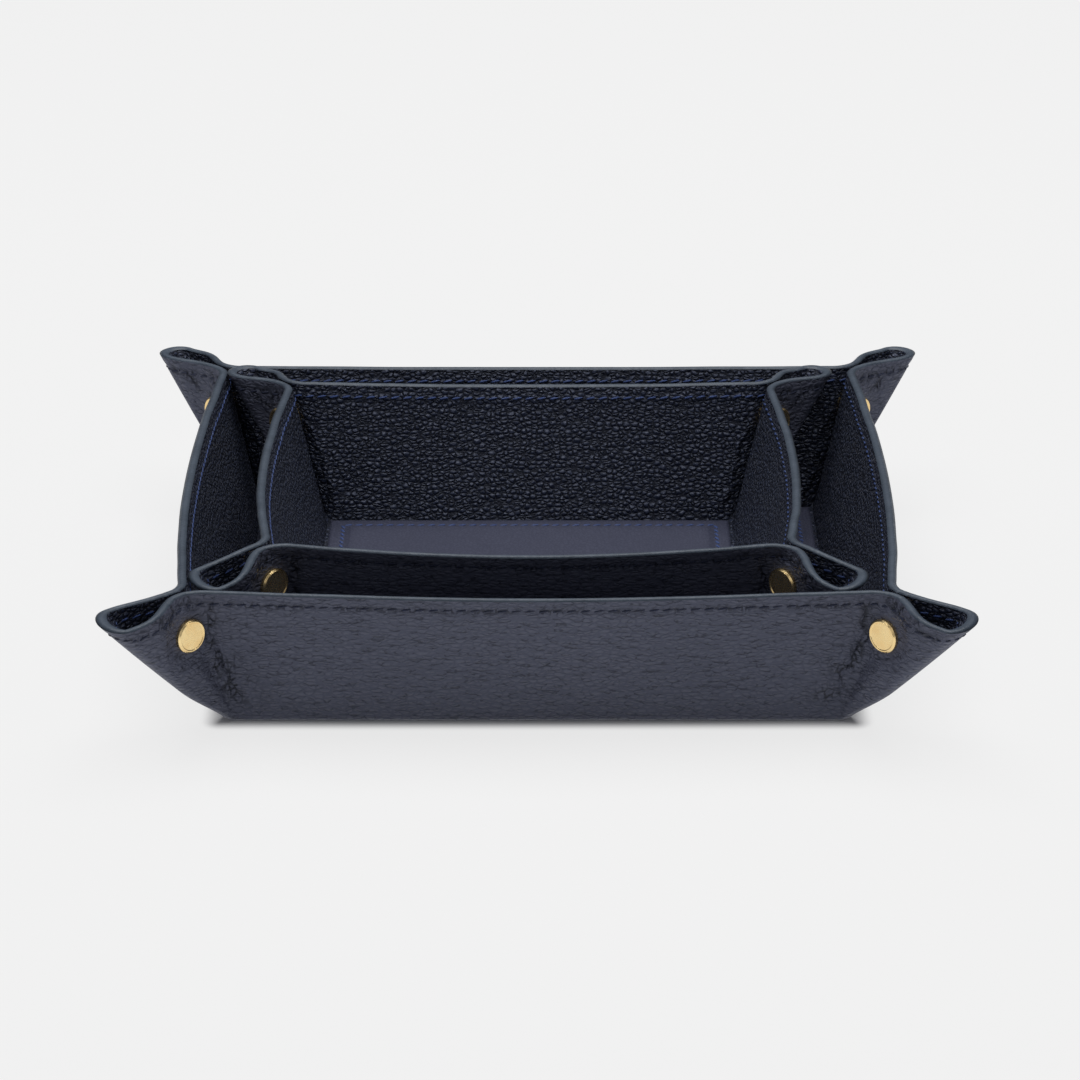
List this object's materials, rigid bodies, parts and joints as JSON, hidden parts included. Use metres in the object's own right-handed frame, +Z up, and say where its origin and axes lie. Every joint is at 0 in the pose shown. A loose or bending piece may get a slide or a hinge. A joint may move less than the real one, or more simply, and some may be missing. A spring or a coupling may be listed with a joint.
{
  "type": "valet tray",
  "caption": "Nested pair of navy leather valet trays with pinched corner ears held by brass press studs; undone, the walls fold out flat and the small tray lifts out.",
  "frame": {"origin": "centre of the large tray's floor, on the surface that it stands on", "axes": "+Z up, +X to the right, the front wall faces -Y"},
  "size_m": [0.252, 0.236, 0.0488],
  "materials": {
    "navy_leather": "pebble-grained navy hide, satin",
    "lining_leather": "navy lining leather, matte",
    "base_board": "grey-brown stiffening board",
    "brass": "satin brass"
  },
  "bodies": {
    "outer_base": {"outer_base_leather": "navy_leather", "outer_base_board": "base_board", "outer_base_lining": "lining_leather"},
    "outer_front_wall": {"outer_front_wall_leather": "navy_leather", "outer_front_wall_lining": "lining_leather"},
    "outer_right_wall": {"outer_right_wall_leather": "navy_leather", "outer_right_wall_lining": "lining_leather"},
    "outer_back_wall": {"outer_back_wall_leather": "navy_leather", "outer_back_wall_lining": "lining_leather"},
    "outer_left_wall": {"outer_left_wall_leather": "navy_leather", "outer_left_wall_lining": "lining_leather"},
    "outer_front_left_cap_ear": {"outer_front_left_cap_ear": "navy_leather", "outer_front_left_snap_cap": "brass"},
    "outer_front_left_stud_ear": {"outer_front_left_stud_ear": "navy_leather", "outer_front_left_snap_stud": "brass"},
    "outer_front_right_cap_ear": {"outer_front_right_cap_ear": "navy_leather", "outer_front_right_snap_cap": "brass"},
    "outer_front_right_stud_ear": {"outer_front_right_stud_ear": "navy_leather", "outer_front_right_snap_stud": "brass"},
    "outer_back_right_cap_ear": {"outer_back_right_cap_ear": "navy_leather", "outer_back_right_snap_cap": "brass"},
    "outer_back_right_stud_ear": {"outer_back_right_stud_ear": "navy_leather", "outer_back_right_snap_stud": "brass"},
    "outer_back_left_cap_ear": {"outer_back_left_cap_ear": "navy_leather", "outer_back_left_snap_cap": "brass"},
    "outer_back_left_stud_ear": {"outer_back_left_stud_ear": "navy_leather", "outer_back_left_snap_stud": "brass"},
    "inner_base": {"inner_base_leather": "navy_leather", "inner_base_board": "base_board", "inner_base_lining": "lining_leather"},
    "inner_front_wall": {"inner_front_wall_leather": "navy_leather", "inner_front_wall_lining": "lining_leather"},
    "inner_right_wall": {"inner_right_wall_leather": "navy_leather", "inner_right_wall_lining": "lining_leather"},
    "inner_back_wall": {"inner_back_wall_leather": "navy_leather", "inner_back_wall_lining": "lining_leather"},
    "inner_left_wall": {"inner_left_wall_leather": "navy_leather", "inner_left_wall_lining": "lining_leather"},
    "inner_front_left_cap_ear": {"inner_front_left_cap_ear": "navy_leather", "inner_front_left_snap_cap": "brass"},
    "inner_front_left_stud_ear": {"inner_front_left_stud_ear": "navy_leather", "inner_front_left_snap_stud": "brass"},
    "inner_front_right_cap_ear": {"inner_front_right_cap_ear": "navy_leather", "inner_front_right_snap_cap": "brass"},
    "inner_front_right_stud_ear": {"inner_front_right_stud_ear": "navy_leather", "inner_front_right_snap_stud": "brass"},
    "inner_back_right_cap_ear": {"inner_back_right_cap_ear": "navy_leather", "inner_back_right_snap_cap": "brass"},
    "inner_back_right_stud_ear": {"inner_back_right_stud_ear": "navy_leather", "inner_back_right_snap_stud": "brass"},
    "inner_back_left_cap_ear": {"inner_back_left_cap_ear": "navy_leather", "inner_back_left_snap_cap": "brass"},
    "inner_back_left_stud_ear": {"inner_back_left_stud_ear": "navy_leather", "inner_back_left_snap_stud": "brass"}
  },
  "joints": [
    {"name": "outer_front_fold", "type": "hinge", "parent": "outer_base", "child": "outer_front_wall", "pos_m": [0, -0.084, 0], "axis": [1, 0, 0], "range_deg": [0, 72]},
    {"name": "outer_right_fold", "type": "hinge", "parent": "outer_base", "child": "outer_right_wall", "pos_m": [0.092, 0, 0], "axis": [0, 1, 0], "range_deg": [0, 72]},
    {"name": "outer_back_fold", "type": "hinge", "parent": "outer_base", "child": "outer_back_wall", "pos_m": [0, 0.084, 0], "axis": [-1, 0, 0], "range_deg": [0, 72]},
    {"name": "outer_left_fold", "type": "hinge", "parent": "outer_base", "child": "outer_left_wall", "pos_m": [-0.092, 0, 0], "axis": [0, -1, 0], "range_deg": [0, 72]},
    {"name": "outer_front_left_pinch", "type": "hinge", "parent": "outer_front_wall", "child": "outer_front_left_cap_ear", "pos_m": [-0.08802, -0.08158, 0.00063], "axis": [0.2429, 0.2429, -0.9392], "range_deg": [0, 44.63]},
    {"name": "outer_front_left_spine", "type": "hinge", "parent": "outer_front_left_cap_ear", "child": "outer_front_left_stud_ear", "pos_m": [-0.0916, -0.0836, 0.00021], "axis": [-0.5498, -0.5498, 0.6289], "range_deg": [0, 171.66]},
    {"name": "outer_front_right_pinch", "type": "hinge", "parent": "outer_front_wall", "child": "outer_front_right_cap_ear", "pos_m": [0.08802, -0.08158, 0.00063], "axis": [0.2429, -0.2429, 0.9392], "range_deg": [0, 44.63]},
    {"name": "outer_front_right_spine", "type": "hinge", "parent": "outer_front_right_cap_ear", "child": "outer_front_right_stud_ear", "pos_m": [0.0916, -0.0836, 0.00021], "axis": [-0.5498, 0.5498, -0.6289], "range_deg": [0, 171.66]},
    {"name": "outer_back_right_pinch", "type": "hinge", "parent": "outer_back_wall", "child": "outer_back_right_cap_ear", "pos_m": [0.08802, 0.08158, 0.00063], "axis": [-0.2429, -0.2429, -0.9392], "range_deg": [0, 44.63]},
    {"name": "outer_back_right_spine", "type": "hinge", "parent": "outer_back_right_cap_ear", "child": "outer_back_right_stud_ear", "pos_m": [0.0916, 0.0836, 0.00021], "axis": [0.5498, 0.5498, 0.6289], "range_deg": [0, 171.66]},
    {"name": "outer_back_left_pinch", "type": "hinge", "parent": "outer_back_wall", "child": "outer_back_left_cap_ear", "pos_m": [-0.08802, 0.08158, 0.00063], "axis": [-0.2429, 0.2429, 0.9392], "range_deg": [0, 44.63]},
    {"name": "outer_back_left_spine", "type": "hinge", "parent": "outer_back_left_cap_ear", "child": "outer_back_left_stud_ear", "pos_m": [-0.0916, 0.0836, 0.00021], "axis": [0.5498, -0.5498, -0.6289], "range_deg": [0, 171.66]},
    {"name": "inner_lift", "type": "slide", "parent": "outer_base", "child": "inner_base", "axis": [0, 0, 1], "range_m": [0, 0.09]},
    {"name": "inner_front_fold", "type": "hinge", "parent": "inner_base", "child": "inner_front_wall", "pos_m": [-0.0025, -0.0555, 0.00415], "axis": [1, 0, 0], "range_deg": [0, 72]},
    {"name": "inner_right_fold", "type": "hinge", "parent": "inner_base", "child": "inner_right_wall", "pos_m": [0.0645, 0.003, 0.00415], "axis": [0, 1, 0], "range_deg": [0, 72]},
    {"name": "inner_back_fold", "type": "hinge", "parent": "inner_base", "child": "inner_back_wall", "pos_m": [-0.0025, 0.0615, 0.00415], "axis": [-1, 0, 0], "range_deg": [0, 72]},
    {"name": "inner_left_fold", "type": "hinge", "parent": "inner_base", "child": "inner_left_wall", "pos_m": [-0.0695, 0.003, 0.00415], "axis": [0, -1, 0], "range_deg": [0, 72]},
    {"name": "inner_front_left_pinch", "type": "hinge", "parent": "inner_front_wall", "child": "inner_front_left_cap_ear", "pos_m": [-0.06552, -0.05308, 0.00478], "axis": [0.2429, 0.2429, -0.9392], "range_deg": [0, 44.63]},
    {"name": "inner_front_left_spine", "type": "hinge", "parent": "inner_front_left_cap_ear", "child": "inner_front_left_stud_ear", "pos_m": [-0.0691, -0.0551, 0.00436], "axis": [-0.5498, -0.5498, 0.6289], "range_deg": [0, 171.66]},
    {"name": "inner_front_right_pinch", "type": "hinge", "parent": "inner_front_wall", "child": "inner_front_right_cap_ear", "pos_m": [0.06052, -0.05308, 0.00478], "axis": [0.2429, -0.2429, 0.9392], "range_deg": [0, 44.63]},
    {"name": "inner_front_right_spine", "type": "hinge", "parent": "inner_front_right_cap_ear", "child": "inner_front_right_stud_ear", "pos_m": [0.0641, -0.0551, 0.00436], "axis": [-0.5498, 0.5498, -0.6289], "range_deg": [0, 171.66]},
    {"name": "inner_back_right_pinch", "type": "hinge", "parent": "inner_back_wall", "child": "inner_back_right_cap_ear", "pos_m": [0.06052, 0.05908, 0.00478], "axis": [-0.2429, -0.2429, -0.9392], "range_deg": [0, 44.63]},
    {"name": "inner_back_right_spine", "type": "hinge", "parent": "inner_back_right_cap_ear", "child": "inner_back_right_stud_ear", "pos_m": [0.0641, 0.0611, 0.00436], "axis": [0.5498, 0.5498, 0.6289], "range_deg": [0, 171.66]},
    {"name": "inner_back_left_pinch", "type": "hinge", "parent": "inner_back_wall", "child": "inner_back_left_cap_ear", "pos_m": [-0.06552, 0.05908, 0.00478], "axis": [-0.2429, 0.2429, 0.9392], "range_deg": [0, 44.63]},
    {"name": "inner_back_left_spine", "type": "hinge", "parent": "inner_back_left_cap_ear", "child": "inner_back_left_stud_ear", "pos_m": [-0.0691, 0.0611, 0.00436], "axis": [0.5498, -0.5498, -0.6289], "range_deg": [0, 171.66]}
  ],
  "couplings": [
    {"joint": "outer_right_fold", "follows": "outer_front_fold", "ratio": 1},
    {"joint": "outer_back_fold", "follows": "outer_front_fold", "ratio": 1},
    {"joint": "outer_left_fold", "follows": "outer_front_fold", "ratio": 1},
    {"joint": "outer_front_left_pinch", "follows": "outer_front_fold", "ratio": 0.61983},
    {"joint": "outer_front_left_spine", "follows": "outer_front_fold", "ratio": 2.3841},
    {"joint": "outer_front_right_pinch", "follows": "outer_front_fold", "ratio": 0.61983},
    {"joint": "outer_front_right_spine", "follows": "outer_front_fold", "ratio": 2.3841},
    {"joint": "outer_back_right_pinch", "follows": "outer_front_fold", "ratio": 0.61983},
    {"joint": "outer_back_right_spine", "follows": "outer_front_fold", "ratio": 2.3841},
    {"joint": "outer_back_left_pinch", "follows": "outer_front_fold", "ratio": 0.61983},
    {"joint": "outer_back_left_spine", "follows": "outer_front_fold", "ratio": 2.3841},
    {"joint": "inner_front_fold", "follows": "outer_front_fold", "ratio": 1},
    {"joint": "inner_right_fold", "follows": "outer_front_fold", "ratio": 1},
    {"joint": "inner_back_fold", "follows": "outer_front_fold", "ratio": 1},
    {"joint": "inner_left_fold", "follows": "outer_front_fold", "ratio": 1},
    {"joint": "inner_front_left_pinch", "follows": "outer_front_fold", "ratio": 0.61983},
    {"joint": "inner_front_left_spine", "follows": "outer_front_fold", "ratio": 2.3841},
    {"joint": "inner_front_right_pinch", "follows": "outer_front_fold", "ratio": 0.61983},
    {"joint": "inner_front_right_spine", "follows": "outer_front_fold", "ratio": 2.3841},
    {"joint": "inner_back_right_pinch", "follows": "outer_front_fold", "ratio": 0.61983},
    {"joint": "inner_back_right_spine", "follows": "outer_front_fold", "ratio": 2.3841},
    {"joint": "inner_back_left_pinch", "follows": "outer_front_fold", "ratio": 0.61983},
    {"joint": "inner_back_left_spine", "follows": "outer_front_fold", "ratio": 2.3841}
  ]
}
